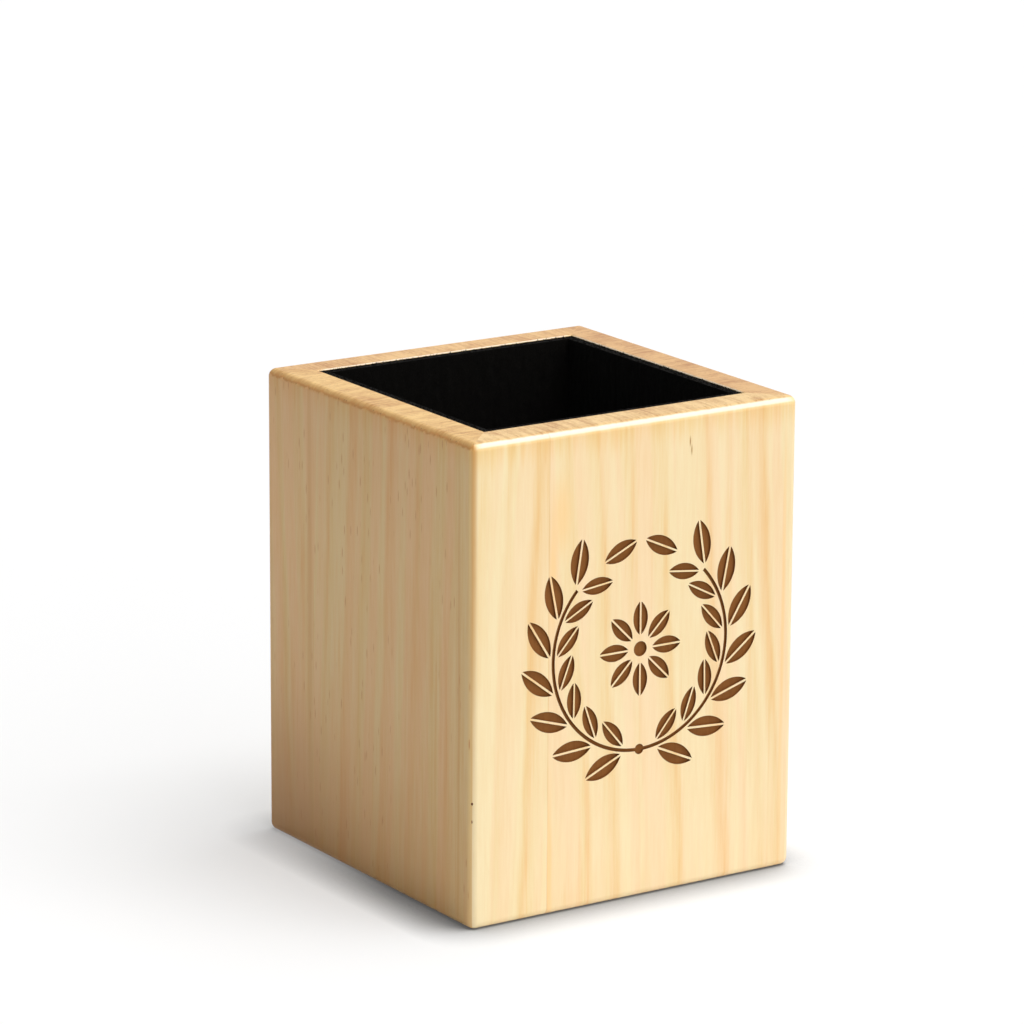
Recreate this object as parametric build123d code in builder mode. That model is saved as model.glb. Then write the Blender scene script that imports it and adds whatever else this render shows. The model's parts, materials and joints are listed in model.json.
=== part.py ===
from build123d import *
import os

# Square open-topped pencil cup. Edge-glued wooden staves make its mitred walls, a base panel is let into
# a rebate round the foot of the walls, and felt lines the well.
# Millimetres, +Z up. The origin is the middle of the underside, the front is -Y and the left is -X.

# Outside of the cup
WIDTH = 80.0  # left to right
DEPTH = 80.0  # front to back
HEIGHT = 101.6  # table to rim
EDGE_RADIUS = 1.5  # rounding along every outer edge

# Wall boards
WALL = 8.0  # thickness
MITRE_ANGLE = 45.0  # at both ends of every wall

# Widths of the staves that end at a corner, measured on the outside; one wide stave fills the rest
FRONT_LEFT_STAVE = 18.5
RIGHT_FRONT_STAVE = 26.0
BACK_RIGHT_STAVE = 31.0
LEFT_BACK_STAVE = 19.0
LEFT_FRONT_STAVE = 5.7

# Base panel
BASE_THICKNESS = 6.0
BASE_LET_IN = 4.0  # how far its edges run into each wall

# Felt lining
FELT = 2.0  # thickness
FELT_BELOW_RIM = 0.3  # from the rim down to the top edge of the felt

# Inside of the bare wooden well
WELL_WIDTH = WIDTH - 2 * WALL
WELL_DEPTH = DEPTH - 2 * WALL
FELT_FLOOR_TOP = BASE_THICKNESS + FELT

# Each wall by its turn about Z from the front, its outside length, the distance to the wall that it faces,
# and its staves from left to right as seen from outside, each with the place where it ends
WALLS = [
    (0, WIDTH, DEPTH, [("front_narrow_stave", FRONT_LEFT_STAVE), ("front_wide_stave", WIDTH)]),
    (90, DEPTH, WIDTH, [("right_narrow_stave", RIGHT_FRONT_STAVE), ("right_wide_stave", DEPTH)]),
    (180, WIDTH, DEPTH, [("back_narrow_stave", BACK_RIGHT_STAVE), ("back_wide_stave", WIDTH)]),
    (
        270,
        DEPTH,
        WIDTH,
        [
            ("left_narrow_stave", LEFT_BACK_STAVE),
            ("left_wide_stave", DEPTH - LEFT_FRONT_STAVE),
            ("left_corner_stave", DEPTH),
        ],
    ),
]

# Each felt wall panel by its turn about Z from the front, its length and the distance to the panel it faces.
# The front and back panels run the full width of the well, and the side panels stand between them.
FELT_PANELS = [
    ("front_felt_panel", 0, WELL_WIDTH, WELL_DEPTH),
    ("right_felt_panel", 90, WELL_DEPTH - 2 * FELT, WELL_WIDTH),
    ("back_felt_panel", 180, WELL_WIDTH, WELL_DEPTH),
    ("left_felt_panel", 270, WELL_DEPTH - 2 * FELT, WELL_WIDTH),
]


def keep(piece, name):
    """Labels a finished piece and writes its file."""
    piece.part.label = name
    export_step(piece.part, f"parts/{name}.step")
    print(f"{name}: {piece.part.volume / 1000:.2f} cm3")


os.makedirs("parts", exist_ok=True)

# Rounded outside of the glued-up cup, which is sanded as one block
with BuildPart() as rounded_block:
    with BuildSketch():
        Rectangle(WIDTH, DEPTH)
    extrude(amount=HEIGHT)
    fillet(rounded_block.edges(), radius=EDGE_RADIUS)

# Base panel, flush with the foot of the walls
with BuildPart() as base_panel:
    with BuildSketch():
        Rectangle(WELL_WIDTH + 2 * BASE_LET_IN, WELL_DEPTH + 2 * BASE_LET_IN)
    extrude(amount=BASE_THICKNESS)
keep(base_panel, "base_panel")

# Staves of the four mitred walls, rebated for the base panel and rounded on the outside
for turn, length, across, staves in WALLS:
    start = 0.0
    for name, end in staves:
        with BuildPart() as stave:
            with BuildSketch(Plane.XY.rotated((0, 0, turn))):
                with Locations((0, -across / 2)):
                    Trapezoid(length, WALL, MITRE_ANGLE, align=(Align.CENTER, Align.MIN))
                with Locations((start - length / 2, -across / 2)):
                    Rectangle(end - start, WALL, align=(Align.MIN, Align.MIN), mode=Mode.INTERSECT)
            extrude(amount=HEIGHT)
            add(base_panel.part, mode=Mode.SUBTRACT)
            add(rounded_block.part, mode=Mode.INTERSECT)
        keep(stave, name)
        start = end

# Felt on the floor of the well
with BuildPart() as felt_floor:
    with BuildSketch(Plane.XY.offset(BASE_THICKNESS)):
        Rectangle(WELL_WIDTH, WELL_DEPTH)
    extrude(amount=FELT)
keep(felt_floor, "felt_floor")

# Felt on the walls of the well, standing on the felt floor
for name, turn, length, across in FELT_PANELS:
    with BuildPart() as felt_panel:
        with BuildSketch(Plane.XY.offset(FELT_FLOOR_TOP).rotated((0, 0, turn))):
            with Locations((0, -across / 2)):
                Rectangle(length, FELT, align=(Align.CENTER, Align.MIN))
        extrude(amount=HEIGHT - FELT_BELOW_RIM - FELT_FLOOR_TOP)
    keep(felt_panel, name)
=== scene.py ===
# %% [markdown]
# # A wooden pencil cup
# This lesson dresses a small square pencil cup. Its walls are pale maple staves, glued edge to edge
# and mitred at the corners, and the well is lined with black felt. The solid model comes first and
# stays fixed, so every piece made here takes its sizes from that model and sits in the same place.

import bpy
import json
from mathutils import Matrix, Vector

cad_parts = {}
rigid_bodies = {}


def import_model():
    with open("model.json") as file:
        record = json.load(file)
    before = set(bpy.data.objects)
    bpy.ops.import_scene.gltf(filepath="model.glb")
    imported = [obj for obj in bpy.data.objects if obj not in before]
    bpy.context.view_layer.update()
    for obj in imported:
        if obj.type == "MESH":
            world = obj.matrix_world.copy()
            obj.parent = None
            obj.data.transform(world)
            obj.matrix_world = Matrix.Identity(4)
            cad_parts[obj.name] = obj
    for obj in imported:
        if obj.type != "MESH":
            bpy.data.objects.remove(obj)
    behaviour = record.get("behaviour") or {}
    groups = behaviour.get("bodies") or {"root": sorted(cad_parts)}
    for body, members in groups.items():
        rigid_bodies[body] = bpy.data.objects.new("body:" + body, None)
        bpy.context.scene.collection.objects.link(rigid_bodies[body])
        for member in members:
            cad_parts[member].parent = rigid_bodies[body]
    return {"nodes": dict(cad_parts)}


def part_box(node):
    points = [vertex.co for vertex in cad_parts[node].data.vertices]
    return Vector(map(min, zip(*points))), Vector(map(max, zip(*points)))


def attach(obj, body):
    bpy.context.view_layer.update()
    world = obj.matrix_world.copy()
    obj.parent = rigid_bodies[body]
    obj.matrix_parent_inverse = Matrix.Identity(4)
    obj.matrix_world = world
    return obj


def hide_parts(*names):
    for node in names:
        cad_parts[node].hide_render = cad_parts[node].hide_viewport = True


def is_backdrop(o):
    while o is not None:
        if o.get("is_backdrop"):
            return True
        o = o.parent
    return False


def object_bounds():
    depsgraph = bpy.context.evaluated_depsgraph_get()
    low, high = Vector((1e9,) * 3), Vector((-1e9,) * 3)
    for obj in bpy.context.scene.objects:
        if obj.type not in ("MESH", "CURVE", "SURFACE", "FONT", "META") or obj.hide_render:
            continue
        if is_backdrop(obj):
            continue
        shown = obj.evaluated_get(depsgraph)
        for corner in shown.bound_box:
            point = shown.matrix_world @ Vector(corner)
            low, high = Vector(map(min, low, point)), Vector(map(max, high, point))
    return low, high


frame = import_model()
cad_low, cad_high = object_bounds()
whole = [round(side * 1000, 1) for side in cad_high - cad_low]
print(len(frame["nodes"]), "solid pieces, box", whole, "mm")

# %% [markdown]
# ## Sizes
# A maker would measure the cup with callipers. Here the boxes of the solid pieces give the same
# figures, so a cup of another size would still be dressed correctly. The rounding of the outer
# edges isn't a box, but a mitre cuts the rounding in half, and a mitred stave therefore ends a
# known share of the radius short of the corner.

# %% Measure the cup
import json
import math

import bpy
from mathutils import Vector

MM = 0.001
WIDTH, DEPTH, HEIGHT = cad_high - cad_low
front_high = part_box("front_wide_stave")[1]
base_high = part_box("base_panel")[1]
WALL = front_high.y - cad_low.y
EDGE_RADIUS = (cad_high.x - front_high.x) / (1 - math.cos(math.radians(45)))
BASE_TOP = base_high.z
LET_IN = base_high.x - (WIDTH / 2 - WALL)
print(f"walls {WALL / MM:.1f} mm, rounding {EDGE_RADIUS / MM:.2f} mm, base {BASE_TOP / MM:.1f} mm")

# %% [markdown]
# ## Working by hand in code
# An operator acts on whatever is selected, so every step starts by leaving one object selected and
# then picks its faces or edges by where they are. These helpers do that, and they are used for
# every piece.

# %% Helpers for selecting
PARTS = {"VERT": "vertices", "EDGE": "edges", "FACE": "polygons"}


def work_on(piece):
    """Leaves one object selected and active, in object mode."""
    if bpy.context.mode != "OBJECT":
        bpy.ops.object.mode_set(mode="OBJECT")
    bpy.ops.object.select_all(action="DESELECT")
    piece.select_set(True)
    bpy.context.view_layer.objects.active = piece


def edit(piece):
    """Opens one object in edit mode with nothing selected."""
    work_on(piece)
    bpy.ops.object.mode_set(mode="EDIT")
    bpy.ops.mesh.select_all(action="DESELECT")


def pick(piece, kind, test):
    """Selects the points, edges or faces of an open mesh that pass the test."""
    bpy.ops.mesh.select_mode(type=kind)
    bpy.ops.mesh.select_all(action="DESELECT")
    bpy.ops.object.mode_set(mode="OBJECT")
    for part in getattr(piece.data, PARTS[kind]):
        part.select = test(part)
    bpy.ops.object.mode_set(mode="EDIT")


def turn_faces_out(piece):
    """Points all the faces of a closed mesh outwards."""
    edit(piece)
    bpy.ops.mesh.select_all(action="SELECT")
    bpy.ops.mesh.normals_make_consistent(inside=False)
    bpy.ops.object.mode_set(mode="OBJECT")


def fix_place():
    """Puts the place, turn and scale of the selected object into its mesh."""
    bpy.ops.object.transform_apply(location=True, rotation=True, scale=True)


def copy_of(piece, name):
    """Copies an object with a mesh of its own."""
    twin = piece.copy()
    twin.data = piece.data.copy()
    twin.name = name
    bpy.context.scene.collection.objects.link(twin)
    return twin


print("helpers ready")

# %% [markdown]
# ## The walls as one sanded block
# The real cup is glued up first and sanded afterwards, which is why its rounded edges run unbroken
# over the mitres and glue seams. The mesh is made in the same order: one block with all its edges
# rounded by a bevel, then the well pushed down from the top and the rebate for the base pushed up
# from below. Rounding each stave by itself would leave a step at every seam. Sanding by hand has
# taken the edges down a little further than the solid model has them, so the bevel is a little
# wider, inside the same box.

# %% Round a block and open the well
ROUNDING_STEPS = 8
SANDED_RADIUS = 1.16 * EDGE_RADIUS
TINY = 0.001 * MM

bpy.ops.object.select_all(action="DESELECT")
bpy.ops.mesh.primitive_cube_add(size=1, location=(0, 0, HEIGHT / 2), scale=(WIDTH, DEPTH, HEIGHT))
walls = bpy.context.object
walls.name = "sanded_walls"
fix_place()
edit(walls)
bpy.ops.mesh.select_all(action="SELECT")
bpy.ops.mesh.bevel(offset=SANDED_RADIUS, segments=ROUNDING_STEPS, profile=0.5, affect="EDGES")

pick(walls, "FACE", lambda face: face.center.z > HEIGHT - TINY)
bpy.ops.mesh.inset(thickness=WALL - SANDED_RADIUS)
bpy.ops.mesh.extrude_region_move(TRANSFORM_OT_translate={"value": (0, 0, BASE_TOP - HEIGHT)})
print("well is", round((HEIGHT - BASE_TOP) / MM, 1), "mm deep before the felt goes in")

# %% [markdown]
# The rebate is a step round the foot, in which the base panel sits. It is one more inset and
# extrusion, from below. A last inset leaves the floor of the well as a face of its own, which is
# deleted, so that the walls become a ring. A Boolean could cut both, but insets keep the faces in
# clean rows.

# %% Push up the rebate and clear the opening
pick(walls, "FACE", lambda face: face.center.z < TINY)
bpy.ops.mesh.inset(thickness=WALL - LET_IN - SANDED_RADIUS)
bpy.ops.mesh.extrude_region_move(TRANSFORM_OT_translate={"value": (0, 0, BASE_TOP)})
bpy.ops.mesh.inset(thickness=LET_IN)


def over_the_middle(face):
    """True on the two faces that still close the well."""
    return abs(face.center.z - BASE_TOP) < TINY and face.center.xy.length < MM


pick(walls, "FACE", over_the_middle)
bpy.ops.mesh.delete(type="ONLY_FACE")
bpy.ops.mesh.select_all(action="SELECT")
bpy.ops.mesh.remove_doubles(threshold=TINY)
print("rebate is", round(LET_IN / MM, 1), "mm wide and", round(BASE_TOP / MM, 1), "mm deep")

# %% [markdown]
# The inner edge of the rim isn't rounded like the outside, but sandpaper has broken it. A very
# small bevel there catches a thin line of light all the way round.

# %% Break the inner edge of the rim
RIM_EASE = 0.3 * MM
WELL_X = WIDTH / 2 - WALL
WELL_Y = DEPTH / 2 - WALL


def on_inner_rim(edge):
    """True where both ends of an edge lie on the inner edge of the rim."""
    ends = [walls.data.vertices[end].co for end in edge.vertices]
    inside = all(abs(end.x) < WELL_X + TINY and abs(end.y) < WELL_Y + TINY for end in ends)
    return inside and all(end.z > HEIGHT - TINY for end in ends)


pick(walls, "EDGE", on_inner_rim)
bpy.ops.mesh.bevel(offset=RIM_EASE, segments=4, profile=0.5, affect="EDGES")
turn_faces_out(walls)
print("sanded walls have", len(walls.data.polygons), "faces")

# %% [markdown]
# ## The engraved leaves
# A laser has burnt a design about half a millimetre deep into the front. A picture mapped on the
# face would look right from the front only, so the design is really cut: small solid leaves, petals
# and stems are placed in the face and taken out of the walls by a Boolean. The cut is made before
# the staves are parted, because the design crosses a seam, as an engraving on a glued-up cup does.
# The design is a plain wreath of leaves round a rosette.

# %% Helpers for flat cutters
ENGRAVED = 0.5 * MM
WREATH_X = 1.0 * MM
WREATH_Z = 0.525 * HEIGHT
cutters = []


def upright_disc(radius, x, z, points=96):
    """Adds a round disc that faces the front."""
    bpy.ops.object.select_all(action="DESELECT")
    bpy.ops.mesh.primitive_circle_add(
        vertices=points,
        radius=radius,
        fill_type="NGON",
        location=(x, -ENGRAVED, z),
        rotation=(math.pi / 2, 0, 0),
    )
    fix_place()
    return bpy.context.object


def thicken(cutter):
    """Pushes a flat cutter back, so that half of it lies in the wood."""
    edit(cutter)
    bpy.ops.mesh.select_all(action="SELECT")
    bpy.ops.mesh.extrude_region_move(TRANSFORM_OT_translate={"value": (0, 2 * ENGRAVED, 0)})
    turn_faces_out(cutter)


def settle(piece, x, z, turn=0.0, size=1.0, side=1):
    """Turns a cutter clockwise, mirrors it for the left side, and moves it to its place on the front."""
    piece.rotation_euler.y = side * turn
    piece.scale = (side * size, 1, size)
    piece.location = (WREATH_X + side * x, cad_low.y, WREATH_Z + z)
    work_on(piece)
    fix_place()
    turn_faces_out(piece)
    cutters.append(piece)


print("the engraving is", ENGRAVED / MM, "mm deep")

# %% [markdown]
# Half a leaf is a slice of a disc: bisect cuts the disc along the midrib and throws the larger part
# away. The two halves stand a little apart, so that a strip of uncut wood is left as the midrib.


# %% Model a leaf
def leaf_of(length, half_width, gap):
    """A leaf of two halves, with its midrib running up from the origin."""
    radius = (length**2 / 4 + half_width**2) / (2 * half_width)
    right = upright_disc(radius, gap / 2 + half_width - radius, length / 2)
    edit(right)
    bpy.ops.mesh.select_all(action="SELECT")
    bpy.ops.mesh.bisect(plane_co=(gap / 2, 0, 0), plane_no=(1, 0, 0), clear_inner=True, threshold=TINY)
    thicken(right)
    left = copy_of(right, "left_half")
    left.scale.x = -1
    work_on(left)
    fix_place()
    right.select_set(True)
    bpy.context.view_layer.objects.active = right
    bpy.ops.object.join()
    turn_faces_out(right)
    return right


leaf = leaf_of(length=9.4 * MM, half_width=1.95 * MM, gap=0.45 * MM)
print("leaf", [round(side / MM, 2) for side in leaf.dimensions], "mm")

# %% [markdown]
# The wreath has two branches, one the mirror of the other. Each has pairs of leaves, a full one
# outside and a smaller one inside, and one leaf at its tip. Copies could be set by hand or by an
# array on a circle. Sine and cosine say plainly where each leaf goes and how far it turns.

# %% Set the leaves round a wreath
WREATH_RADIUS = 21.4 * MM
LEAF_PAIRS = 7
FIRST_PAIR = math.radians(-78)
PAIR_STEP = math.radians(20.5)
OUTER = (math.radians(36), 1.0, 1.0 * MM)
INNER = (math.radians(-38), 0.8, -1.0 * MM)
TIP_SIZE = 0.9

for side in (1, -1):
    for pair in range(LEAF_PAIRS):
        around = FIRST_PAIR + pair * PAIR_STEP
        for spread, size, offset in (OUTER, INNER):
            x = (WREATH_RADIUS + offset) * math.cos(around)
            z = (WREATH_RADIUS + offset) * math.sin(around)
            settle(copy_of(leaf, "wreath_leaf"), x, z, spread - around, size, side)
    tip = FIRST_PAIR + LEAF_PAIRS * PAIR_STEP
    x = WREATH_RADIUS * math.cos(tip)
    z = WREATH_RADIUS * math.sin(tip)
    settle(copy_of(leaf, "tip_leaf"), x, z, -tip, TIP_SIZE, side)
print(len(cutters), "leaves in the wreath")

# %% [markdown]
# A stem is a small upright rectangle that the spin tool sweeps round the middle of the wreath. The
# petals of the rosette are shorter leaves on a circle round a dot.

# %% Spin the stems and set the rosette
STEM = 0.75 * MM
STEM_START = math.radians(-5)
STEM_SWEEP = math.radians(-138)
PETALS = 8
PETALS_FROM = 3.0 * MM
DOTS = ((1.6 * MM, 0), (1.1 * MM, -WREATH_RADIUS))

for side in (1, -1):
    bpy.ops.object.select_all(action="DESELECT")
    bpy.ops.mesh.primitive_plane_add(
        size=1, location=(0, 0, -WREATH_RADIUS), rotation=(0, math.pi / 2, 0)
    )
    stem = bpy.context.object
    stem.scale = (STEM, 2 * ENGRAVED, 1)
    fix_place()
    edit(stem)
    bpy.ops.mesh.select_all(action="SELECT")
    bpy.ops.mesh.spin(steps=60, angle=STEM_SWEEP, center=(0, 0, 0), axis=(0, 1, 0))
    settle(stem, 0, 0, STEM_START, 1.0, side)

petal = leaf_of(length=7.0 * MM, half_width=1.6 * MM, gap=0.4 * MM)
for number in range(PETALS):
    turn = number * 2 * math.pi / PETALS
    x = PETALS_FROM * math.sin(turn)
    z = PETALS_FROM * math.cos(turn)
    settle(copy_of(petal, "petal"), x, z, turn)
for radius, z in DOTS:
    dot = upright_disc(radius, 0, 0, points=48)
    thicken(dot)
    settle(dot, 0, z)
bpy.data.objects.remove(leaf)
bpy.data.objects.remove(petal)
print(len(cutters), "cutters")

# %% [markdown]
# Two small pores lie open on the front left corner, where the mitre runs out. They are cut in the
# same way, by two stretched balls. Each cutter carries the finish of the hollow that it leaves: the
# Boolean hands it on.

# %% Add the pores and cut everything at once
burnt_wood = bpy.data.materials.new("burnt_wood")
dark_pore = bpy.data.materials.new("dark_pore")
for cutter in cutters:
    cutter.data.materials.append(burnt_wood)

CORNER = SANDED_RADIUS * (1 - math.cos(math.radians(45)))
PORES = ((26.9 * MM, 0.22 * MM, 0.32 * MM), (23.1 * MM, 0.13 * MM, 0.35 * MM))
for z, width, length in PORES:
    bpy.ops.object.select_all(action="DESELECT")
    bpy.ops.mesh.primitive_uv_sphere_add(segments=24, ring_count=12, radius=1)
    pore = bpy.context.object
    pore.scale = (width, width, length)
    pore.location = (cad_low.x + CORNER, cad_low.y + CORNER, z)
    fix_place()
    pore.data.materials.append(dark_pore)
    cutters.append(pore)

work_on(cutters[0])
for cutter in cutters:
    cutter.select_set(True)
bpy.ops.object.join()
design = bpy.context.object
walls.data.materials.append(bpy.data.materials.new("bare_maple"))
work_on(walls)
cut = walls.modifiers.new("engrave", "BOOLEAN")
cut.operation = "DIFFERENCE"
cut.solver = "EXACT"
cut.use_self = True
cut.object = design
cut.material_mode = "TRANSFER"
bpy.ops.object.modifier_apply(modifier="engrave")
bpy.data.objects.remove(design)
names = [material.name for material in walls.data.materials]
print("engraved walls have", len(walls.data.polygons), "faces in", names)

# %% [markdown]
# ## Cutting the block into its staves
# Each stave's place is read from the solid piece that it stands for. A copy of the whole ring is
# cut by planes with the bisect tool, which also fills the cut: first along the two mitres of the
# wall, then along the seams.

# %% Cut the staves
WALLS = [
    (0, ["front_narrow_stave", "front_wide_stave"]),
    (90, ["right_narrow_stave", "right_wide_stave"]),
    (180, ["back_narrow_stave", "back_wide_stave"]),
    (270, ["left_narrow_stave", "left_wide_stave", "left_corner_stave"]),
]


def cut_away(point, direction):
    """Removes all of the open mesh that lies past a plane, and closes the cut."""
    bpy.ops.mesh.select_all(action="SELECT")
    bpy.ops.mesh.bisect(
        plane_co=point, plane_no=direction, use_fill=True, clear_outer=True, threshold=TINY
    )


def reach(node, direction):
    """How far a solid piece reaches along a direction, as its start and end."""
    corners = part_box(node)
    places = [corner.dot(direction) for corner in corners]
    return min(places), max(places)


def cut_stave(node, turn, first, last):
    """Cuts one stave out of a copy of the sanded walls."""
    board = copy_of(walls, node.replace("stave", "board"))
    angle = math.radians(turn)
    along = Vector((math.cos(angle), math.sin(angle), 0))
    outward = Vector((math.sin(angle), -math.cos(angle), 0))
    corner = outward * DEPTH / 2 if turn % 180 == 0 else outward * WIDTH / 2
    half = WIDTH / 2 if turn % 180 == 0 else DEPTH / 2
    start, end = reach(node, along)
    edit(board)
    cut_away(corner - along * half, (-along - outward).normalized())
    cut_away(corner + along * half, (along - outward).normalized())
    if not first:
        cut_away(along * start, -along)
    if not last:
        cut_away(along * end, along)
    turn_faces_out(board)
    return board


boards = {}
for turn, staves in WALLS:
    for node in staves:
        boards[node] = cut_stave(node, turn, node == staves[0], node == staves[-1])
        print(node, [round(side / MM, 2) for side in boards[node].dimensions], "mm")
bpy.data.objects.remove(walls)

# %% [markdown]
# The roundings should shade softly while the flat faces stay flat. Smoothing by angle does the
# first, and weighted normals do the second. Each board then stands for its solid and moves with it.

# %% Smooth the boards and stand them for their solids
for node, board in boards.items():
    work_on(board)
    bpy.ops.object.shade_smooth_by_angle(angle=math.radians(30))
    board.modifiers.new("flat faces stay flat", "WEIGHTED_NORMAL").keep_sharp = True
    bpy.ops.object.modifier_apply(modifier="flat faces stay flat")
    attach(board, "root")
    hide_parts(node)
print(len(boards), "boards stand for their solids")


# %% [markdown]
# ## Nodes in few words
# A procedural material is a small calculation that runs at each point of the surface. The helpers
# below add one node each and hand back its output, so that a finish can be read from top to bottom
# like a recipe. Everything is worked out from Object coordinates, in millimetres, so the grain runs
# through the wood and meets itself round an edge.


# %% Helpers for materials
def new_finish(name):
    """A material with its tree and its shader."""
    material = bpy.data.materials.get(name) or bpy.data.materials.new(name)
    material.use_nodes = True
    return material, material.node_tree, material.node_tree.nodes["Principled BSDF"]


def add_node(tree, kind, inputs, **options):
    """Adds a node, sets its options, and sets or links its inputs."""
    made = tree.nodes.new(kind)
    for option, value in options.items():
        setattr(made, option, value)
    for socket, value in inputs.items():
        if isinstance(value, bpy.types.NodeSocket):
            tree.links.new(value, made.inputs[socket])
        else:
            made.inputs[socket].default_value = value
    return made


def calc(tree, operation, *values):
    """One sum."""
    return add_node(tree, "ShaderNodeMath", dict(enumerate(values)), operation=operation).outputs[0]


def rise(tree, value, start, end):
    """Goes smoothly from 0 to 1 while a value goes from start to end."""
    limits = {"Value": value, "From Min": start, "From Max": end}
    return add_node(tree, "ShaderNodeMapRange", limits, interpolation_type="SMOOTHSTEP").outputs[0]


def blend(tree, share, under, over, way="MIX"):
    """Lays one colour over another."""
    layers = {0: share, 6: under, 7: over}
    return add_node(tree, "ShaderNodeMix", layers, data_type="RGBA", blend_type=way).outputs[2]


def stretch(tree, place, per_mm):
    """Scales a place, so that a pattern has so many repeats to the millimetre along each axis."""
    return add_node(tree, "ShaderNodeVectorMath", {0: place, 1: per_mm}, operation="MULTIPLY").outputs[0]


def noise(tree, place, per_mm, detail=2.0, roughness=0.5):
    """Soft noise from 0 to 1."""
    inputs = {"Vector": stretch(tree, place, per_mm), "Scale": 1.0}
    inputs.update({"Detail": detail, "Roughness": roughness})
    return add_node(tree, "ShaderNodeTexNoise", inputs).outputs["Fac"]


def bumped(tree, shader, pattern, strength, depth):
    """Raises the surface by a pattern, as deep as so many millimetres."""
    inputs = {"Strength": strength, "Distance": depth * MM, "Height": pattern}
    bump = add_node(tree, "ShaderNodeBump", inputs)
    tree.links.new(bump.outputs[0], shader.inputs["Normal"])


def all_over(shader, values):
    """Sets on the shader itself what is the same all over a surface."""
    for socket, value in values.items():
        shader.inputs[socket].default_value = value


print("finish helpers ready")

# %% [markdown]
# ## Maple
# Maple is pale, with soft bands of growth rings. Within a ring the wood darkens slowly towards its
# line and pales again faster behind it, so each ring is drawn by four stops of a colour ramp. Every
# stave was sawn from another place in the tree, so each has rings of its own, leaning its own way.
# A wave texture would draw rings with less work, but it repeats evenly, and that looks printed.


# %% Find a point's place on its wall
def wall_place(tree, turn, shift):
    """A point's place in millimetres, with each wall turned to read like the front, and its facing."""
    coords = add_node(tree, "ShaderNodeTexCoord", {})
    turned = {"Vector": coords.outputs["Object"], "Scale": (1 / MM,) * 3}
    turned["Rotation"] = (0, 0, -math.radians(turn))
    place = add_node(tree, "ShaderNodeMapping", turned).outputs[0]
    axes = add_node(tree, "ShaderNodeSeparateXYZ", {0: place}).outputs
    moved = add_node(tree, "ShaderNodeVectorMath", {0: place, 1: (shift, 3 * shift, 0)}).outputs[0]
    facing = add_node(tree, "ShaderNodeSeparateXYZ", {0: coords.outputs["Normal"]}).outputs
    return moved, axes, facing


RAMP_SPAN = 100.0
RING = ((-3.4, 0.15), (-1.3, 0.50), (0.0, 0.80), (1.4, 0.08))


def late_wood(tree, ring_place, grows, rings):
    """From 0 in pale early wood to the depth of each ring at its line. Grows says which side is older."""
    share = calc(tree, "MULTIPLY_ADD", ring_place, 1 / RAMP_SPAN, 0.5)
    ramp = add_node(tree, "ShaderNodeValToRGB", {"Fac": share})
    stops = ramp.color_ramp.elements
    stops[0].color = (0.2, 0.2, 0.2, 1)
    stops[1].color = (0.2, 0.2, 0.2, 1)
    for at, depth in rings:
        for step, part in RING:
            stop = stops.new((at + grows * step) / RAMP_SPAN + 0.5)
            stop.color = (depth * part, depth * part, depth * part, 1)
    return ramp.outputs["Color"]


print("ring ramp spans", RAMP_SPAN, "mm")

# %% [markdown]
# Between the rings there are thin streaks, fine fibres, and flecks, which are the ends of tiny
# vessels. Glue lines, stains and pores are drawn as soft lines, ovals and dots, and so is the painted
# shade on the left wall.


# %% Small marks in the wood
def spots(tree, place, per_mm, size, share):
    """Scattered spots: only a share of the cells has one."""
    cells = add_node(tree, "ShaderNodeTexVoronoi", {"Vector": stretch(tree, place, per_mm), "Scale": 1.0})
    spot = rise(tree, cells.outputs["Distance"], size, size * 0.4)
    chosen = calc(tree, "LESS_THAN", cells.outputs["Color"], share)
    return calc(tree, "MULTIPLY", spot, chosen)


def line_at(tree, value, at, half_width):
    """A thin soft line where a value passes a place."""
    distance = calc(tree, "ABSOLUTE", calc(tree, "SUBTRACT", value, at))
    return rise(tree, distance, half_width, half_width * 0.3)


def soft_oval(tree, x, z, at_x, at_z, half_width, half_height):
    """A soft oval, for a stain or for painted shade."""
    across = calc(tree, "DIVIDE", calc(tree, "SUBTRACT", x, at_x), half_width)
    up = calc(tree, "DIVIDE", calc(tree, "SUBTRACT", z, at_z), half_height)
    squares = calc(tree, "MULTIPLY_ADD", across, across, calc(tree, "MULTIPLY", up, up))
    return rise(tree, calc(tree, "SQRT", squares), 1.0, 0.1)


def edge_highlight(tree, facing):
    """A painted highlight: from 0 on flat faces to 1 on the upward roundings of the rim."""
    straight = [calc(tree, "ABSOLUTE", facing[axis]) for axis in "XYZ"]
    nearest = calc(tree, "MAXIMUM", calc(tree, "MAXIMUM", straight[0], straight[1]), straight[2])
    tilted_up = rise(tree, facing["Z"], 0.1, 0.5)
    return calc(tree, "MULTIPLY", rise(tree, nearest, 0.985, 0.86), tilted_up)


def from_mitre(tree, x, y):
    """How far a point lies from the nearer mitre of its wall, in millimetres."""
    to_end = calc(tree, "SUBTRACT", WIDTH / MM / 2, calc(tree, "ABSOLUTE", x))
    return calc(tree, "SUBTRACT", to_end, calc(tree, "ADD", y, DEPTH / MM / 2))


print("marks ready")

# %% [markdown]
# The colour of a face comes from one shade between pale and deep, to which rings, streaks, fibres
# and clouds each add a part. A ramp of three woods then turns the shade to a colour: most of a face
# is early wood, and only the thin lines reach the orange end. Soft bands of straw and rose lie over
# all of it and lean with the rings, because a face of one hue would look painted.

# %% Draw the long grain
EARLY_WOOD = (0.870, 0.710, 0.457, 1)
LATE_WOOD = (0.835, 0.625, 0.345, 1)
RING_LINE = (0.800, 0.475, 0.185, 1)
STRAW = (0.975, 1.0, 0.92, 1)
BLUSH = (1.0, 0.90, 0.84, 1)
MIDDLE = HEIGHT / MM / 2
TOP = HEIGHT / MM


def centred(tree, value, amount, base):
    """Adds a noise to a base, weighed and centred on zero."""
    return calc(tree, "MULTIPLY_ADD", calc(tree, "SUBTRACT", value, 0.5), amount, base)


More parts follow.
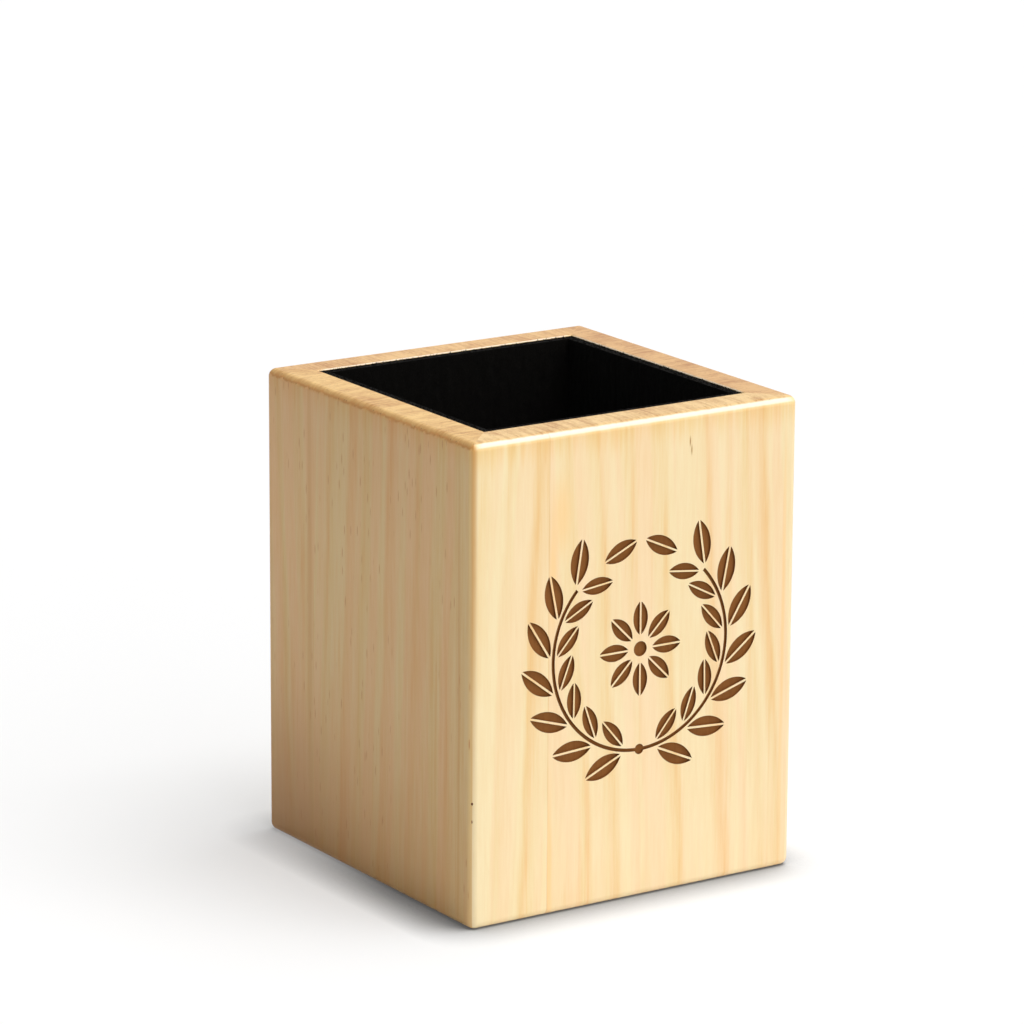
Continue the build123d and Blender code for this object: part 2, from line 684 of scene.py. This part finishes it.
def long_grain(tree, place, x, z, board, rosy, slant, grows, rings):
    """The colour of a wall's face, with its rings, fibres and soft bands of straw and rose."""
    wander = calc(tree, "MULTIPLY_ADD", noise(tree, place, (0.05, 0.05, 0.022)), 3.2, -1.6)
    ripple = centred(tree, noise(tree, place, (0.35, 0.35, 0.05)), 0.9, wander)
    lean = calc(tree, "MULTIPLY_ADD", calc(tree, "SUBTRACT", z, MIDDLE), slant, ripple)
    late = late_wood(tree, calc(tree, "ADD", x, lean), grows, rings)
    fade = calc(tree, "MULTIPLY_ADD", noise(tree, place, (0.12, 0.12, 0.014)), 1.3, -0.12)
    shade = calc(tree, "MULTIPLY", calc(tree, "MULTIPLY", late, board["ringed"]), fade)
    streak = rise(tree, noise(tree, place, (0.42, 0.42, 0.010), detail=3.0, roughness=0.6), 0.54, 0.76)
    shade = calc(tree, "MULTIPLY_ADD", streak, board["fibrous"] * 0.36, shade)
    fibre = noise(tree, place, (1.7, 1.7, 0.09), detail=5.0, roughness=0.7)
    shade = centred(tree, fibre, board["fibrous"], shade)
    shade = centred(tree, noise(tree, place, (0.10, 0.10, 0.03)), 0.42, shade)
    ramp = add_node(tree, "ShaderNodeValToRGB", {"Fac": calc(tree, "ADD", shade, 0.03)})
    stops = ramp.color_ramp.elements
    stops[0].color = EARLY_WOOD
    stops[1].color = RING_LINE
    stops.new(0.45).color = LATE_WOOD
    sideways = add_node(tree, "ShaderNodeSeparateXYZ", {0: place}).outputs["X"]
    leaning = {"X": calc(tree, "ADD", sideways, lean), "Z": z}
    along_rings = add_node(tree, "ShaderNodeCombineXYZ", leaning).outputs[0]
    band = rise(tree, noise(tree, along_rings, (0.24, 0.24, 0.006), detail=2.0), 0.38, 0.62)
    hue = blend(tree, calc(tree, "ADD", band, rosy - 0.5), STRAW, BLUSH)
    colour = blend(tree, board["banded"], ramp.outputs["Color"], hue, "MULTIPLY")
    return colour, late, fibre


print("early wood", EARLY_WOOD[:3])

# %% [markdown]
# On the rim the fibres are cut across. End grain drinks more lacquer than the faces, so it is
# darker and more orange. The rings cross the thickness of the wall there as short streaks, and open
# pores show as dots. Where the rounding of the left wall turns down into the face, the end grain
# stops in a ragged amber fringe. Noise moves that border, but only where the surface tilts, or dark
# cracks would run down the flat face.

# %% Draw the end grain
END_PALE = (0.73, 0.50, 0.21, 1)
END_DEEP = (0.37, 0.15, 0.026, 1)
PORE = (0.14, 0.06, 0.022, 1)
FRINGE = (0.56, 0.25, 0.07, 1)


def end_grain(tree, place, late, upward, board):
    """The colour of the rim and of the underside, its pores, and where both show."""
    rounding = rise(tree, upward, 0.99, 0.80)
    ragged = centred(tree, noise(tree, place, (0.8, 0.8, 0.05), detail=3.0), board["ragged"], 0.0)
    tilted = calc(tree, "MULTIPLY", rounding, rise(tree, upward, 0.02, 0.25))
    reached = calc(tree, "MULTIPLY_ADD", ragged, tilted, upward)
    rim = rise(tree, reached, *board["soaked"])
    foot = rise(tree, upward, -0.8, -0.98)
    rays = rise(tree, noise(tree, place, (1.0, 0.10, 0.02), detail=3.0, roughness=0.6), 0.36, 0.66)
    grit = noise(tree, place, (2.3, 0.9, 0.05), detail=4.0, roughness=0.65)
    patch = noise(tree, place, (0.13, 0.11, 0.02), detail=3.0)
    deep = calc(tree, "MULTIPLY_ADD", late, 0.35, calc(tree, "MULTIPLY_ADD", rays, 0.60, -0.09))
    deep = centred(tree, patch, 2.0, centred(tree, grit, 1.6, deep))
    deep = calc(tree, "MULTIPLY_ADD", deep, 0.72, 0.07)
    even = calc(tree, "SUBTRACT", 0.55, deep)
    deep = calc(tree, "MULTIPLY_ADD", even, calc(tree, "MULTIPLY", rounding, 0.7), deep)
    colour = blend(tree, deep, END_PALE, END_DEEP)
    fringe = calc(tree, "MULTIPLY", rise(tree, reached, 0.75, 0.45), board["fringed"])
    colour = blend(tree, fringe, colour, FRINGE)
    pores = spots(tree, place, (1.7, 1.7, 0.02), 0.25, 0.32)
    colour = blend(tree, calc(tree, "MULTIPLY", pores, 0.7), colour, PORE)
    return colour, pores, calc(tree, "MAXIMUM", rim, foot)


print("end grain", END_PALE[:3], "to", END_DEEP[:3])

# %% [markdown]
# Just below the rim the lacquer has run a little way down between the fibres and left
# honey-coloured fingers. Each wall's rim has drunk a different share of it, so the end grain has a
# tint for each wall; the front rim's bluer tint is partly a painted sheen. All the layers come
# together in one finish for each stave. The lacquer is a thin coat on the shader, smooth enough to
# draw a bright line along a rounded edge.

# %% Mix the maple
FLECK = (0.60, 0.26, 0.10, 1)
AMBER = (0.70, 0.39, 0.13, 1)
UMBER = (0.40, 0.20, 0.055, 1)
GOLD = (0.90, 0.58, 0.25, 1)
# Painted highlight: the pale colour laid on the upper rounded edges, where the lamp above lights them.
PAINTED_HIGHLIGHT = (0.95, 0.91, 0.82, 1)
HONEY = (0.97, 0.85, 0.64, 1)
END_TINT = {
    # The front rim: partly a painted sheen, bluer than the lacquer alone.
    0: (1.0, 1.01, 1.10, 1),
    90: (0.84, 0.73, 0.71, 1),
    180: (0.92, 0.84, 0.84, 1),
    270: (0.97, 0.92, 0.83, 1),
}
MITRE_LINE = 0.18
SEAM_LINE = 0.26
GLUE_SHARE = 0.45


def maple(name, turn, shift, figure, board, seams, stains_and_shade):
    """Satin lacquered maple for one stave. Seams are the places of its glue lines in millimetres."""
    material, tree, shader = new_finish(name)
    place, (x, y, z), facing = wall_place(tree, turn, shift)
    colour, late, fibre = long_grain(tree, place, x, z, board, *figure)

    crowd = rise(tree, noise(tree, place, (0.035, 0.035, 0.018)), 0.34, 0.54)
    fleck = calc(tree, "MULTIPLY", spots(tree, place, (0.90, 0.90, 0.12), 0.18, 0.45), crowd)
    colour = blend(tree, calc(tree, "MULTIPLY", fleck, board["flecked"]), colour, FLECK)
    # Stains, and on the left wall painted shade, laid on as soft ovals.
    for tint, at_x, at_z, half_width, half_height, strength in stains_and_shade:
        mark = soft_oval(tree, x, z, at_x, at_z, half_width, half_height)
        colour = blend(tree, calc(tree, "MULTIPLY", mark, strength), colour, tint)
    finger = noise(tree, place, (0.75, 0.75, 0.02), detail=3.0)
    soak = rise(tree, calc(tree, "MULTIPLY_ADD", finger, 12.0, z), TOP - 1.0, TOP + 7.5)
    colour = blend(tree, soak, colour, HONEY, "MULTIPLY")

    # Painted highlight along the upper roundings, fading out towards the mitres.
    mitre = from_mitre(tree, x, y)
    highlit = calc(tree, "MULTIPLY", rise(tree, mitre, 0.0, 2.5), board["highlit"])
    highlight_share = calc(tree, "MULTIPLY", edge_highlight(tree, facing), highlit)
    colour = blend(tree, 1.0, blend(tree, highlight_share, colour, PAINTED_HIGHLIGHT), board["tint"], "MULTIPLY")

    end_colour, pores, shows_end = end_grain(tree, place, late, facing["Z"], board)
    end_colour = blend(tree, 1.0, end_colour, END_TINT[turn], "MULTIPLY")
    colour = blend(tree, shows_end, colour, end_colour)
    glue = line_at(tree, mitre, 0.0, MITRE_LINE)
    for seam in seams:
        glue = calc(tree, "MAXIMUM", glue, line_at(tree, x, seam, SEAM_LINE))
    patchy = rise(tree, noise(tree, place, (0.3, 0.3, 0.05)), 0.25, 0.65)
    glued = calc(tree, "MULTIPLY", calc(tree, "MULTIPLY", glue, patchy), GLUE_SHARE)
    colour = blend(tree, glued, colour, AMBER)
    tree.links.new(colour, shader.inputs["Base Color"])

    roughness = calc(tree, "MULTIPLY_ADD", fibre, 0.14, calc(tree, "MULTIPLY_ADD", shows_end, 0.12, 0.34))
    tree.links.new(roughness, shader.inputs["Roughness"])
    dents = calc(tree, "MULTIPLY", calc(tree, "MAXIMUM", fleck, pores), 0.3)
    relief = calc(tree, "SUBTRACT", fibre, dents)
    bumped(tree, shader, relief, 0.25, 0.06)
    all_over(shader, {"Coat Weight": 0.2, "Coat Roughness": 0.2, "Specular IOR Level": 0.2})
    return material


print("lacquered maple ready")

# %% [markdown]
# The left wall is tinted darker and warmer than the rest: partly a darker board, and partly painted
# shade, since that side faces away from the lamps. A board has a tint for its colour, and soaked
# gives the two tilts of the surface between which the end grain begins. The first strength after
# soaked sets the painted highlight on the upper rounded edges; flecked, fibrous, ringed and banded
# say how strong the flecks, the fibres, the rings and the bands of straw and rose are. Ragged and
# fringed say how uneven and how amber the border of the end grain is. One material with a mix for
# each wall would do as well, but a finish for each stave is easier to read.

# %% Describe the two boards
PALE_BOARD = {
    "tint": (1.0, 1.0, 1.0, 1),
    "soaked": (0.74, 0.95),
    # How strong the painted highlight on the upper rounded edges is.
    "highlit": 0.60,
    "flecked": 0.16,
    "fibrous": 0.70,
    "ringed": 1.3,
    "banded": 0.6,
    "ragged": 0.15,
    "fringed": 0.0,
}
DARK_SHADED_BOARD = {
    # Darker and warmer than the pale board: partly the wood, partly painted shade on the side away from
    # the lamps.
    "tint": (0.915, 0.785, 0.62, 1),
    "soaked": (0.14, 0.50),
    "highlit": 0.0,
    "flecked": 0.7,
    "fibrous": 1.15,
    "ringed": 0.95,
    "banded": 1.0,
    "ragged": 0.8,
    "fringed": 0.7,
}
print("pale board tint", PALE_BOARD["tint"][:3], "dark board tint", DARK_SHADED_BOARD["tint"][:3])

# %% [markdown]
# The figure is what the rings show on a face. For each stave it gives how rosy the wood is, the
# lean of the rings, which way they grew, and each ring's place along its wall in millimetres with
# its depth. Rings from noise alone would be less work, but a seam shows only where the figure
# changes, so each is listed.

# %% Set the figure of each stave
FIGURE = {
    "front_narrow_stave": (0.15, -0.04, -1, [(-39.2, 0.5), (-32.9, 0.5), (-26.0, 0.9)]),
    "front_wide_stave": (
        0.60,
        0.06,
        1,
        [(-13.9, 0.7), (-7.0, 0.8), (0.6, 0.5), (8.8, 0.9), (19.9, 0.9), (29.6, 0.7), (34.0, 0.9)],
    ),
    "right_narrow_stave": (0.5, 0.03, 1, [(-36.0, 0.6), (-29.5, 0.8), (-21.0, 0.7)]),
    "right_wide_stave": (
        0.4,
        -0.04,
        -1,
        [(-8.0, 0.8), (0.5, 0.6), (7.0, 0.9), (16.5, 0.7), (24.0, 0.9), (33.5, 0.7)],
    ),
    "back_narrow_stave": (0.3, 0.05, -1, [(-34.0, 0.7), (-27.0, 0.9), (-18.5, 0.6), (-12.5, 0.8)]),
    "back_wide_stave": (0.6, -0.03, 1, [(-2.0, 0.7), (5.5, 0.9), (15.0, 0.6), (22.0, 0.9), (32.0, 0.8)]),
    "left_narrow_stave": (0.5, 0.05, 1, [(-32.6, 1.2), (-24.0, 0.7)]),
    "left_wide_stave": (
        0.45,
        -0.05,
        -1,
        [(-15.9, 1.1), (-8.0, 1.0), (-2.3, 1.0), (7.1, 1.1), (17.8, 1.0), (24.8, 0.7), (31.8, 0.8)],
    ),
    "left_corner_stave": (0.5, 0.02, 1, [(36.5, 0.4)]),
}
print(sum(len(figure[3]) for figure in FIGURE.values()), "rings in", len(FIGURE), "staves")

# %% [markdown]
# Stains and painted shade are soft ovals, each with a colour, a place, a half size and a strength.
# Long narrow ones are lines of lacquer beside the seams and along the front left edge, and two short
# dark strokes near the top of the front are a small check in the grain. The wide ones on the left
# wall are painted shade that darkens it towards the floor, most at the back, with a faint darkening
# along its top. A painted mask could hold them all, but it would be a picture, and these few numbers
# are exact at any size.

# %% Place the stains
# Painted shade: the left wall darker towards the floor, most at the back, and faintly along the top.
PAINTED_SHADE_AND_DARK_TOP = [
    (UMBER, -38.0, -4.0, 48.0, 46.0, 0.60),
    (AMBER, -16.0, -4.0, 90.0, 55.0, 0.45),
    (UMBER, -10.0, 106.0, 80.0, 42.0, 0.12),
]
STAINS_AND_SHADE = {
    "front_narrow_stave": [(AMBER, -39.5, 95.0, 1.0, 85.0, 0.85)],
    "front_wide_stave": [
        (GOLD, -21.1, 8.0, 1.2, 30.0, 0.7),
        (GOLD, -20.6, 71.0, 1.6, 16.0, 0.65),
        (GOLD, -18.6, 84.0, 3.6, 12.0, 0.6),
        (GOLD, 37.0, 52.0, 0.8, 60.0, 0.6),
        (UMBER, 12.8, 95.4, 0.26, 1.6, 0.95),
        (UMBER, 13.2, 93.6, 0.26, 1.6, 0.95),
    ],
    "left_narrow_stave": [
        (AMBER, -39.0, 50.0, 2.0, 80.0, 0.45),
        (AMBER, -22.4, 60.0, 1.7, 70.0, 0.55),
        *PAINTED_SHADE_AND_DARK_TOP,
    ],
    "left_wide_stave": PAINTED_SHADE_AND_DARK_TOP,
    "left_corner_stave": [
        (AMBER, 35.2, 50.0, 0.9, 80.0, 0.45),
        (AMBER, 39.6, 95.0, 0.8, 85.0, 0.55),
        *PAINTED_SHADE_AND_DARK_TOP,
    ],
}
print(sum(len(marks) for marks in STAINS_AND_SHADE.values()), "stains on", len(STAINS_AND_SHADE), "staves")

# %% [markdown]
# Now every stave gets its finish. The noise is moved on for each, as if it came from further along
# the plank, so no two staves look alike. Slots that hold no face, such as burnt wood on a plain
# stave, are removed.

# %% Finish each stave
GRAIN_SHIFT = 37.0
number = 0
for turn, staves in WALLS:
    angle = math.radians(turn)
    along = Vector((math.cos(angle), math.sin(angle), 0))
    for node in staves:
        number += 1
        start, end = (place / MM for place in reach(node, along))
        seams = [place for place in (start, end) if abs(place) < WIDTH / MM / 2 - 1]
        board = DARK_SHADED_BOARD if turn == 270 else PALE_BOARD
        stains_and_shade = STAINS_AND_SHADE.get(node, ())
        shift = GRAIN_SHIFT * number
        finish = maple(node + "_maple", turn, shift, FIGURE[node], board, seams, stains_and_shade)
        boards[node].data.materials[0] = finish
        work_on(boards[node])
        bpy.ops.object.material_slot_remove_unused()
        print(node, len(finish.node_tree.nodes), "nodes")

# %% [markdown]
# ## Burnt wood
# In the bottom of the engraving the wood is scorched brown, and its grain still shows. The laser
# has gone over it in fine lines, which are kept very faint. One flat brown would look like a
# sticker, so soot and fibre vary it. The two pores get a darker brown.

# %% Finish the engraving and the pores
CHARRED = (0.185, 0.066, 0.015, 1)
SCORCHED = (0.29, 0.115, 0.030, 1)
LASER_STEP = 0.3
PORE_DEEP = (0.16, 0.055, 0.02, 1)
PORE_DUST = (0.30, 0.12, 0.05, 1)


def burnt():
    """Scorched maple."""
    tree, shader = new_finish("burnt_wood")[1:]
    place, axes = wall_place(tree, 0, 0)[:2]
    fibre = noise(tree, place, (2.6, 2.6, 0.06), detail=4.0, roughness=0.6)
    soot = noise(tree, place, (0.25, 0.25, 0.18), detail=3.0)
    shade = calc(tree, "MULTIPLY_ADD", fibre, 0.7, calc(tree, "MULTIPLY_ADD", soot, 0.6, -0.2))
    colour = blend(tree, shade, CHARRED, SCORCHED)
    tree.links.new(colour, shader.inputs["Base Color"])
    passes = calc(tree, "SINE", calc(tree, "MULTIPLY", axes["Z"], 2 * math.pi / LASER_STEP))
    relief = calc(tree, "MULTIPLY_ADD", passes, 0.15, fibre)
    bumped(tree, shader, relief, 0.4, 0.08)
    tree.links.new(calc(tree, "MULTIPLY_ADD", soot, 0.2, 0.6), shader.inputs["Roughness"])
    all_over(shader, {"Specular IOR Level": 0.1})


def pore_finish():
    """The dark inside of an open pore."""
    tree, shader = new_finish("dark_pore")[1:]
    place = wall_place(tree, 0, 0)[0]
    dust = noise(tree, place, (6.0, 6.0, 3.0))
    tree.links.new(blend(tree, dust, PORE_DEEP, PORE_DUST), shader.inputs["Base Color"])
    all_over(shader, {"Roughness": 0.8})


burnt()
pore_finish()
print("burnt wood and pores finished")

# %% [markdown]
# ## The base
# The base panel is let into the foot of the walls and shows only from below. Its solid is already
# right, so it stays, and gets a plainer maple with its grain running from left to right. No lacquer
# is on it, so it is duller.

# %% Finish the base
BASE_PALE = (0.74, 0.55, 0.32, 1)
BASE_DEEP = (0.62, 0.41, 0.20, 1)
BASE_RINGS = [(-31, 0.7), (-20, 0.9), (-14, 0.5), (-2, 0.8), (9, 0.9), (15, 0.6), (29, 0.8)]


def base_finish():
    """Sanded, sealed maple, seen from below."""
    material, tree, shader = new_finish("base_maple")
    coords = add_node(tree, "ShaderNodeTexCoord", {}).outputs["Object"]
    place = stretch(tree, coords, (1 / MM,) * 3)
    y = add_node(tree, "ShaderNodeSeparateXYZ", {0: place}).outputs["Y"]
    wander = calc(tree, "MULTIPLY_ADD", noise(tree, place, (0.02, 0.05, 0.05)), 9.0, -4.5)
    late = late_wood(tree, calc(tree, "ADD", y, wander), 1, BASE_RINGS)
    fibre = noise(tree, place, (0.05, 2.4, 2.4), detail=4.0, roughness=0.6)
    shade = calc(tree, "MULTIPLY_ADD", fibre, 0.6, calc(tree, "MULTIPLY_ADD", late, 0.35, -0.1))
    tree.links.new(blend(tree, shade, BASE_PALE, BASE_DEEP), shader.inputs["Base Color"])
    tree.links.new(calc(tree, "MULTIPLY_ADD", fibre, 0.2, 0.5), shader.inputs["Roughness"])
    bumped(tree, shader, fibre, 0.35, 0.08)
    return material


base = frame["nodes"]["base_panel"]
base.data.materials.clear()
base.data.materials.append(base_finish())
print("base panel", [round(side / MM, 1) for side in base.dimensions], "mm")

# %% [markdown]
# ## Felt
# The well is lined with black pressed felt, about 2 mm thick: four wall pieces standing on a floor
# piece. Felt has no weave. It is a mat of fibres with an uneven face, soft cut edges, and a fringe
# of fibre ends along the top edge. A piece starts as a fine grid at the top edge and is extruded
# down to a slab, so that the top has small faces to pull fibres from.

# %% Model the felt on the walls
FELT_CELL = 0.5 * MM
FELT_ROWS = 45
RUFFLE = 0.22 * MM
FUZZ_SHARE = 0.55
FUZZ_INSET = 0.14 * MM
FUZZ_LENGTH = 0.3 * MM
FUZZ_DRIFT = 0.3 * MM


def felt_slab(node, name):
    """A slab of felt as large as its solid, cut into small faces on top."""
    low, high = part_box(node)
    size = high - low
    middle = (low + high) / 2
    across = [max(4, round(side / FELT_CELL)) for side in size]
    bpy.ops.object.select_all(action="DESELECT")
    bpy.ops.mesh.primitive_grid_add(
        x_subdivisions=across[0], y_subdivisions=across[1], size=1, location=(middle.x, middle.y, high.z)
    )
    slab = bpy.context.object
    slab.name = name
    slab.scale = (size.x, size.y, 1)
    fix_place()
    edit(slab)
    bpy.ops.mesh.select_all(action="SELECT")
    bpy.ops.mesh.extrude_region_move(TRANSFORM_OT_translate={"value": (0, 0, -size.z)})
    turn_faces_out(slab)
    return slab, low, high


def rows_down(slab, low, high, rows):
    """Cuts the upright edges of a slab into rows."""

    def upright(edge):
        first, last = (slab.data.vertices[end].co.z for end in edge.vertices)
        return abs(first - last) > (high.z - low.z) / 2

    edit(slab)
    pick(slab, "EDGE", upright)
    bpy.ops.mesh.subdivide(number_cuts=rows)
    bpy.ops.object.mode_set(mode="OBJECT")


def ruffle(slab, test, amount, seed):
    """Moves the chosen points a little at random, so that the face is no longer flat."""
    edit(slab)
    pick(slab, "VERT", lambda point: test(point.co))
    bpy.ops.transform.vertex_random(offset=amount, uniform=0.0, normal=0.0, seed=seed)
    bpy.ops.mesh.vertices_smooth(factor=0.4)
    bpy.ops.object.mode_set(mode="OBJECT")


def raise_fibres(slab, top, seed):
    """Pulls short fibres out of the top edge: small faces are inset and poked, and the points moved."""
    edit(slab)
    pick(slab, "FACE", lambda face: face.normal.z > 0.7 and face.center.z > top - 0.3 * MM)
    bpy.ops.mesh.select_random(action="DESELECT", ratio=1 - FUZZ_SHARE, seed=seed)
    bpy.ops.mesh.inset(thickness=FUZZ_INSET, use_individual=True)
    bpy.ops.mesh.poke(offset=FUZZ_LENGTH)
    pick(slab, "VERT", lambda point: point.co.z > top + FUZZ_LENGTH / 2)
    bpy.ops.transform.vertex_random(offset=FUZZ_DRIFT, uniform=0.0, normal=0.0, seed=seed + 1)
    bpy.ops.object.mode_set(mode="OBJECT")


felts = {}
for number, side in enumerate(("front", "right", "back", "left")):
    node = side + "_felt_panel"
    slab, low, high = felt_slab(node, side + "_felt")
    rows_down(slab, low, high, FELT_ROWS)
    middle = (low + high) / 2
    away = 0 if abs(middle.x) > abs(middle.y) else 1
    face = min(abs(low[away]), abs(high[away]))
    ruffle(
        slab,
        lambda point: abs(point[away]) < face + TINY and point.z < high.z - MM,
        RUFFLE,
        number + 1,
    )
    raise_fibres(slab, high.z, 10 * number + 3)
    felts[node] = slab
    print(slab.name, len(slab.data.polygons), "faces")

# %% [markdown]
# The floor piece is a slab of the same kind, as wide as the whole well. The wall pieces stand on
# its edges, so it needs no fringe, only an uneven face.

# %% Model the felt on the floor of the well
FLOOR_RUFFLE = 0.25 * MM
slab, low, high = felt_slab("felt_floor", "floor_felt")
felts["felt_floor"] = slab
ruffle(slab, lambda point: point.z > high.z - TINY, FLOOR_RUFFLE, 51)
print(slab.name, len(slab.data.polygons), "faces")

# %% [markdown]
# The finish is nearly black and quite matt. Sheen on the shader stands for the fine fuzz, which
# lights up at a glancing angle, and two sizes of noise give the matted fibres. Real hair would be
# finer still, but it would not come along when the model is exported.

# %% Finish the felt
FELT_DEEP = (0.0006, 0.0005, 0.0004, 1)
FELT_PALE = (0.0045, 0.0038, 0.003, 1)


def felt_finish():
    """Black pressed felt."""
    material, tree, shader = new_finish("black_felt")
    coords = add_node(tree, "ShaderNodeTexCoord", {}).outputs["Object"]
    place = stretch(tree, coords, (1 / MM,) * 3)
    fibres = noise(tree, place, (3.5, 3.5, 3.5), detail=5.0, roughness=0.7)
    clumps = noise(tree, place, (0.5, 0.5, 0.5), detail=2.0)
    shade = calc(tree, "MULTIPLY_ADD", fibres, 0.9, calc(tree, "MULTIPLY_ADD", clumps, 0.6, -0.3))
    tree.links.new(blend(tree, shade, FELT_DEEP, FELT_PALE), shader.inputs["Base Color"])
    relief = calc(tree, "MULTIPLY_ADD", clumps, 1.5, fibres)
    bumped(tree, shader, relief, 0.9, 0.25)
    all_over(shader, {"Roughness": 0.95, "Specular IOR Level": 0.05})
    all_over(shader, {"Sheen Weight": 0.012, "Sheen Roughness": 0.5})
    return material


black_felt = felt_finish()
for node, slab in felts.items():
    low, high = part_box(node)
    slab.data.materials.append(black_felt)
    work_on(slab)
    bpy.ops.object.shade_smooth_by_angle(angle=math.radians(40))
    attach(slab, "root")
    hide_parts(node)

# %% [markdown]
# ## The floor
# The cup stands on a white table. The floor is a plain pale surface that bounces light back as
# paper does. What the camera sees of it is lifted towards white, which leaves the shadow soft, and
# no lamp has to be turned up for that, so the wood isn't overexposed.

# %% Lay the floor
bpy.ops.object.select_all(action="DESELECT")
bpy.ops.mesh.primitive_plane_add(size=12, location=(0, 0, 0))
floor = bpy.context.object
floor.name = "floor"
floor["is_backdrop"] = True
paper, tree, shader = new_finish("white_paper")
all_over(shader, {"Roughness": 0.9, "Specular IOR Level": 0.1})


def seen_directly(tree):
    """1 for what the camera sees, also in a mirror or through glass."""
    path = add_node(tree, "ShaderNodeLightPath", {}).outputs
    gloss = calc(tree, "MAXIMUM", path["Is Glossy Ray"], path["Is Transmission Ray"])
    return calc(tree, "MAXIMUM", path["Is Camera Ray"], gloss)


seen = seen_directly(tree)
print("floor", floor.dimensions.x, "m wide")

# %% [markdown]
# Where the cup touches the paper, a narrow painted contact shadow shows how close the two are. The
# lift towards white would wash a real one out, so ambient occlusion paints it into the paper's
# colour: the node asks how much of the sky over a point is hidden within a short distance. The
# question is tilted towards the lamp, so that the shadow is wider on the far side, and the shadow
# is painted fainter towards the back of the cup.

# %% Darken the floor at the foot
FLOOR_LIFT = 0.45
CONTACT = 12.0 * MM
TO_LAMP = {"X": 0.28, "Y": -0.20, "Z": 0.94}
MOST_HIDDEN = 0.4
FALL_OFF = 1.45
LEAN_RIGHT = 0.3
FADE_SPAN = 0.35 * DEPTH
AT_FRONT = 1.10
AT_BACK = 0.40
SHADE = (0.02, 0.02, 0.02, 1)
PAPER = (0.8, 0.8, 0.8, 1)

to_lamp = add_node(tree, "ShaderNodeCombineXYZ", TO_LAMP).outputs[0]
contact = {"Distance": CONTACT, "Normal": to_lamp}
corner = add_node(tree, "ShaderNodeAmbientOcclusion", contact, samples=8).outputs["AO"]
open_part = calc(tree, "POWER", calc(tree, "MAXIMUM", corner, MOST_HIDDEN), FALL_OFF)
coords = add_node(tree, "ShaderNodeTexCoord", {}).outputs["Object"]
axes = add_node(tree, "ShaderNodeSeparateXYZ", {0: coords}).outputs
# The painted shadow fades towards the back of the cup.
behind = calc(tree, "MULTIPLY_ADD", axes["X"], LEAN_RIGHT, axes["Y"])
fade = rise(tree, behind, -FADE_SPAN, FADE_SPAN)
near = calc(tree, "MULTIPLY_ADD", fade, AT_BACK - AT_FRONT, AT_FRONT)
hidden = calc(tree, "MULTIPLY", calc(tree, "SUBTRACT", 1.0, open_part), near)
open_air = calc(tree, "MULTIPLY_ADD", calc(tree, "MULTIPLY", hidden, seen), -1.0, 1.0)
tree.links.new(blend(tree, open_air, SHADE, PAPER), shader.inputs["Base Color"])
white = add_node(tree, "ShaderNodeEmission", {"Color": (1, 1, 1, 1), "Strength": open_air})
lift = calc(tree, "MULTIPLY", seen, FLOOR_LIFT)
shown = add_node(tree, "ShaderNodeMixShader", {0: lift, 1: shader.outputs[0], 2: white.outputs[0]})
tree.links.new(shown.outputs[0], tree.nodes["Material Output"].inputs["Surface"])
floor.data.materials.append(paper)
print("the dark line at the foot reaches", round(CONTACT / MM), "mm")

# %% [markdown]
# ## Light
# Two lamps stand for the softboxes of a photo studio: one high on the right, which draws the short
# shadow and the bright line along the front edge, and one wide and low in front. A dim white world
# fills the rest. Sun lamps with a wide angle give the same soft light everywhere on the floor.


# %% Set the lamps and the world
def softbox(name, right_of_front, height, level, spread):
    """A wide lamp. Angles are in degrees. At level 1 a surface that faces it shows its own colour."""
    bpy.ops.object.light_add(type="SUN", location=(0, 0, 1))
    lamp = bpy.context.object
    lamp.name = name
    side, up = math.radians(right_of_front), math.radians(height)
    towards = Vector((math.sin(side) * math.cos(up), -math.cos(side) * math.cos(up), math.sin(up)))
    lamp.rotation_euler = towards.to_track_quat("Z", "Y").to_euler()
    lamp.data.energy = level * math.pi
    lamp.data.angle = math.radians(spread)
    print(name, "level", level)


ROOM_LEVEL = 0.08
softbox("overhead_softbox", 56, 75, 1.00, 46)
softbox("front_softbox", 22, 20, 0.58, 80)

world = bpy.data.worlds.new("studio")
bpy.context.scene.world = world
world.use_nodes = True
tree = world.node_tree
sky = tree.nodes["Background"]
sky.inputs["Color"].default_value = (1, 1, 1, 1)
level = calc(tree, "MULTIPLY_ADD", seen_directly(tree), 1 - ROOM_LEVEL, ROOM_LEVEL)
tree.links.new(level, sky.inputs["Strength"])
print("room level", ROOM_LEVEL)

# %% [markdown]
# ## Camera
# The camera stands to the left of the front and a little above the rim. A long lens keeps the
# upright edges nearly parallel.

# %% Set the camera
AZIMUTH = math.radians(-33.43)
ELEVATION = math.radians(14.63)
ROLL = math.radians(0.33)
DISTANCE = 10.68 * HEIGHT
AIM = Vector((-0.041 * HEIGHT, 0, 0.729 * HEIGHT))

bpy.ops.object.camera_add()
camera = bpy.context.object
camera.data.sensor_width = 36
camera.data.lens = 182.64
camera.data.clip_start = 0.01
level_part = math.cos(ELEVATION)
backwards = Vector((math.sin(AZIMUTH) * level_part, -math.cos(AZIMUTH) * level_part, math.sin(ELEVATION)))
camera.location = AIM + DISTANCE * backwards
camera.rotation_euler = backwards.to_track_quat("Z", "Y").to_euler()
camera.rotation_euler.rotate_axis("Z", ROLL)
bpy.context.scene.camera = camera
bpy.context.scene.view_settings.view_transform = "Standard"
print("camera", [round(place, 3) for place in camera.location])

# %% [markdown]
# ## The dressed size
# The two boxes show whether the dressed cup still has the size of the solid one.

# %% Print the dressed size
low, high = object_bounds()
print("dressed box", [round(side / MM, 2) for side in high - low], "mm")
